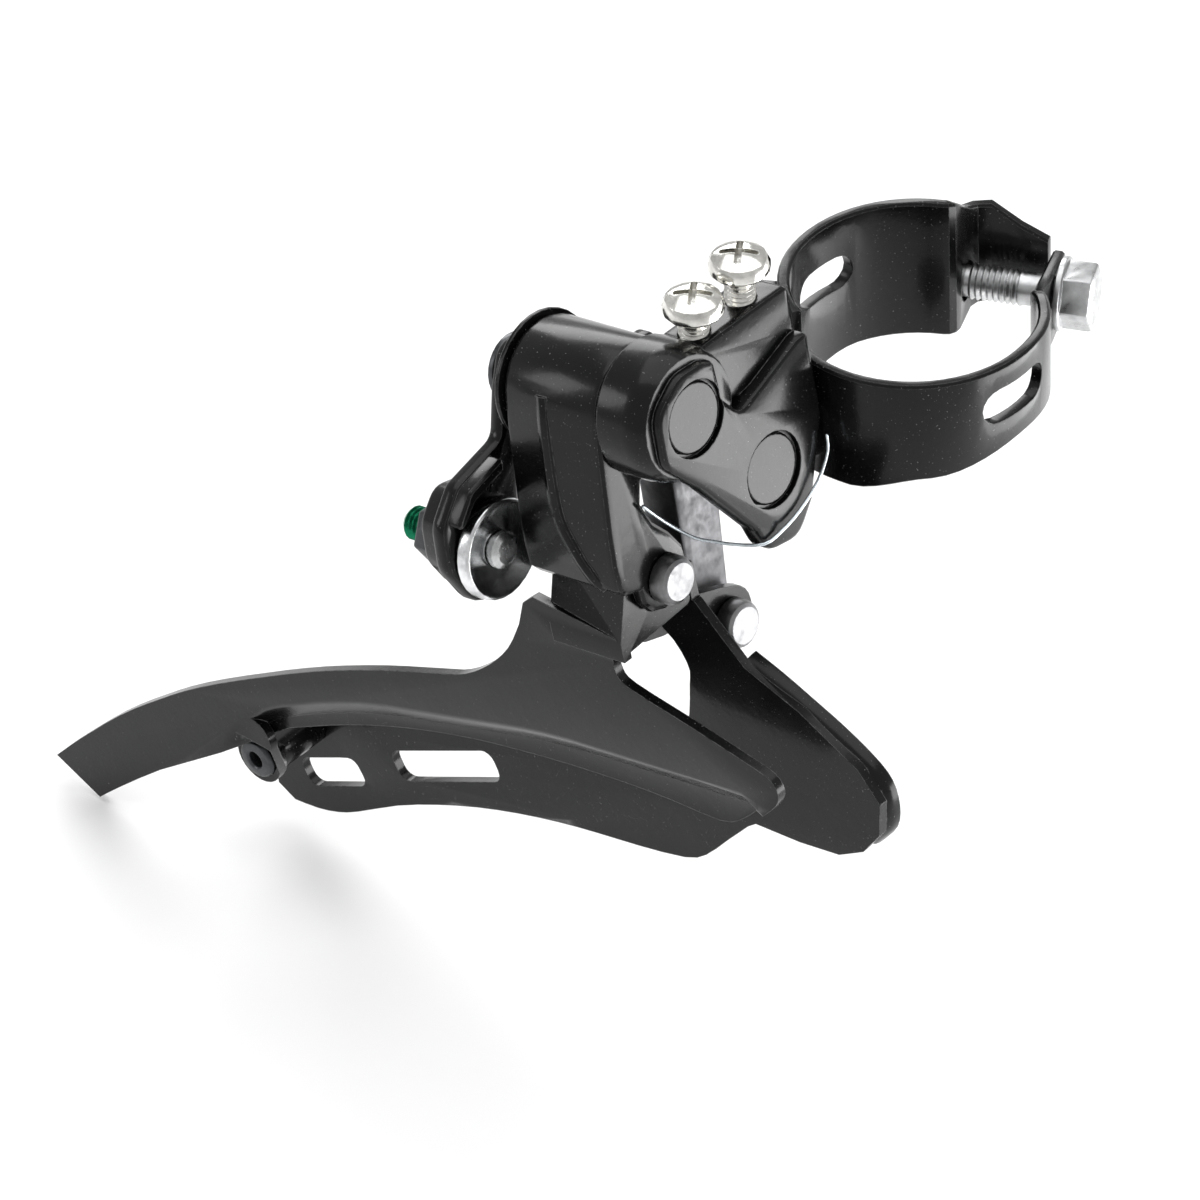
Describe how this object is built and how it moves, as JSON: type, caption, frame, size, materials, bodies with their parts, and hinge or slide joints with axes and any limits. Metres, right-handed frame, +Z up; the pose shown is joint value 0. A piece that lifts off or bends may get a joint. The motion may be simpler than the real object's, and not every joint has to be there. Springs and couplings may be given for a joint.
{
  "type": "bicycle front derailleur",
  "caption": "Clamp-on bicycle front derailleur: hinged seat-tube clamp, swinging links, cable arm, limit screws and a two-plate chain cage.",
  "frame": {"origin": "centre of the seat-tube clamp, on the seat tube's axis", "axes": "+Z up the seat tube, +X towards the front of the bicycle, -Y outboard (drive side)"},
  "size_m": [0.1413, 0.0927, 0.1238],
  "materials": {
    "bracket_body": "gloss black enamel",
    "cable_arm": "gloss black enamel",
    "cable_clamp_bolt": "zinc plated thread",
    "cable_clamp_nut": "dark plated",
    "cable_clamp_washer": "bright plated dish",
    "cage_plate_inner": "gloss black enamel",
    "cage_plate_outer": "gloss black enamel",
    "cage_rivet_front": "gloss black enamel",
    "cage_rivet_rear": "gloss black enamel",
    "cage_tail_rivet": "black plated",
    "cage_tail_spacer": "gloss black enamel",
    "clamp_band_fixed": "gloss black enamel",
    "clamp_band_hinged": "gloss black enamel",
    "clamp_bolt": "bright zinc",
    "clamp_hinge_pin": "plain",
    "clamp_nut": "black plated",
    "hub_end_disc": "gloss black enamel",
    "inner_link": "grey plated",
    "limit_screw_high": "bright nickel",
    "limit_screw_low": "bright nickel",
    "mounting_rivet_lower": "plain",
    "mounting_rivet_upper": "plain",
    "outer_link": "gloss black enamel",
    "pivot_pin_inner_lower": "bright zinc",
    "pivot_pin_inner_upper": "black plated",
    "pivot_pin_outer_lower": "bright zinc",
    "pivot_pin_outer_upper": "black plated",
    "pivot_retaining_ring": "black plated",
    "return_spring": "spring steel",
    "shipping_tie_wire": "plain wire"
  },
  "bodies": {
    "bracket": {"bracket_body": "bracket_body", "clamp_band_fixed": "clamp_band_fixed", "clamp_hinge_pin": "clamp_hinge_pin", "clamp_nut": "clamp_nut", "mounting_rivet_upper": "mounting_rivet_upper", "mounting_rivet_lower": "mounting_rivet_lower", "pivot_pin_outer_upper": "pivot_pin_outer_upper", "pivot_pin_inner_upper": "pivot_pin_inner_upper", "pivot_retaining_ring": "pivot_retaining_ring", "return_spring": "return_spring", "shipping_tie_wire": "shipping_tie_wire"},
    "outer_link": {"outer_link": "outer_link", "cable_arm": "cable_arm", "cable_clamp_bolt": "cable_clamp_bolt", "cable_clamp_washer": "cable_clamp_washer", "hub_end_disc": "hub_end_disc"},
    "inner_link": {"inner_link": "inner_link"},
    "cage": {"cage_plate_outer": "cage_plate_outer", "cage_plate_inner": "cage_plate_inner", "cage_rivet_front": "cage_rivet_front", "cage_rivet_rear": "cage_rivet_rear", "cage_tail_spacer": "cage_tail_spacer", "cage_tail_rivet": "cage_tail_rivet", "pivot_pin_outer_lower": "pivot_pin_outer_lower", "pivot_pin_inner_lower": "pivot_pin_inner_lower"},
    "clamp_bolt": {"clamp_bolt": "clamp_bolt"},
    "clamp_band": {"clamp_band_hinged": "clamp_band_hinged"},
    "cable_nut": {"cable_clamp_nut": "cable_clamp_nut"},
    "limit_screw_high": {"limit_screw_high": "limit_screw_high"},
    "limit_screw_low": {"limit_screw_low": "limit_screw_low"}
  },
  "joints": [
    {"name": "outer_link_pivot", "type": "hinge", "parent": "bracket", "child": "outer_link", "pos_m": [-0.00211, -0.0405, 0.01415], "axis": [-0.9833, 0, -0.1822], "range_deg": [-7.5, 28], "stiffness_Nm_per_rad": 0.02, "springref_deg": -20.05},
    {"name": "inner_link_pivot", "type": "hinge", "parent": "bracket", "child": "inner_link", "pos_m": [0.00044, -0.0289, 0.00039], "axis": [-0.9833, 0, -0.1822], "range_deg": [-7.5, 28]},
    {"name": "cage_pivot", "type": "hinge", "parent": "outer_link", "child": "cage", "pos_m": [0.00241, -0.0425, -0.01023], "axis": [-0.9833, 0, -0.1822], "range_deg": [-28, 7.5]},
    {"name": "clamp_bolt_travel", "type": "slide", "parent": "bracket", "child": "clamp_bolt", "axis": [0.9092, 0.4163, 0], "range_m": [0, 0.0031]},
    {"name": "clamp_band_hinge", "type": "hinge", "parent": "bracket", "child": "clamp_band", "pos_m": [-0.0074, -0.0203, 0], "axis": [0, 0, -1], "range_deg": [0, 4.01]},
    {"name": "cable_nut_turn", "type": "hinge", "parent": "outer_link", "child": "cable_nut", "pos_m": [-0.0341, -0.0537, -0.0108], "axis": [-0.9833, 0, -0.1822], "continuous": true},
    {"name": "high_screw_turn", "type": "hinge", "parent": "bracket", "child": "limit_screw_high", "pos_m": [-0.00856, -0.033, 0.02038], "axis": [0, 0, 1], "continuous": true},
    {"name": "low_screw_turn", "type": "hinge", "parent": "bracket", "child": "limit_screw_low", "pos_m": [-0.00856, -0.024, 0.02038], "axis": [0, 0, 1], "continuous": true}
  ],
  "couplings": [
    {"joint": "inner_link_pivot", "follows": "outer_link_pivot", "ratio": 1},
    {"joint": "cage_pivot", "follows": "outer_link_pivot", "ratio": -1},
    {"joint": "clamp_band_hinge", "follows": "clamp_bolt_travel", "rad_per_m": 22.52}
  ]
}
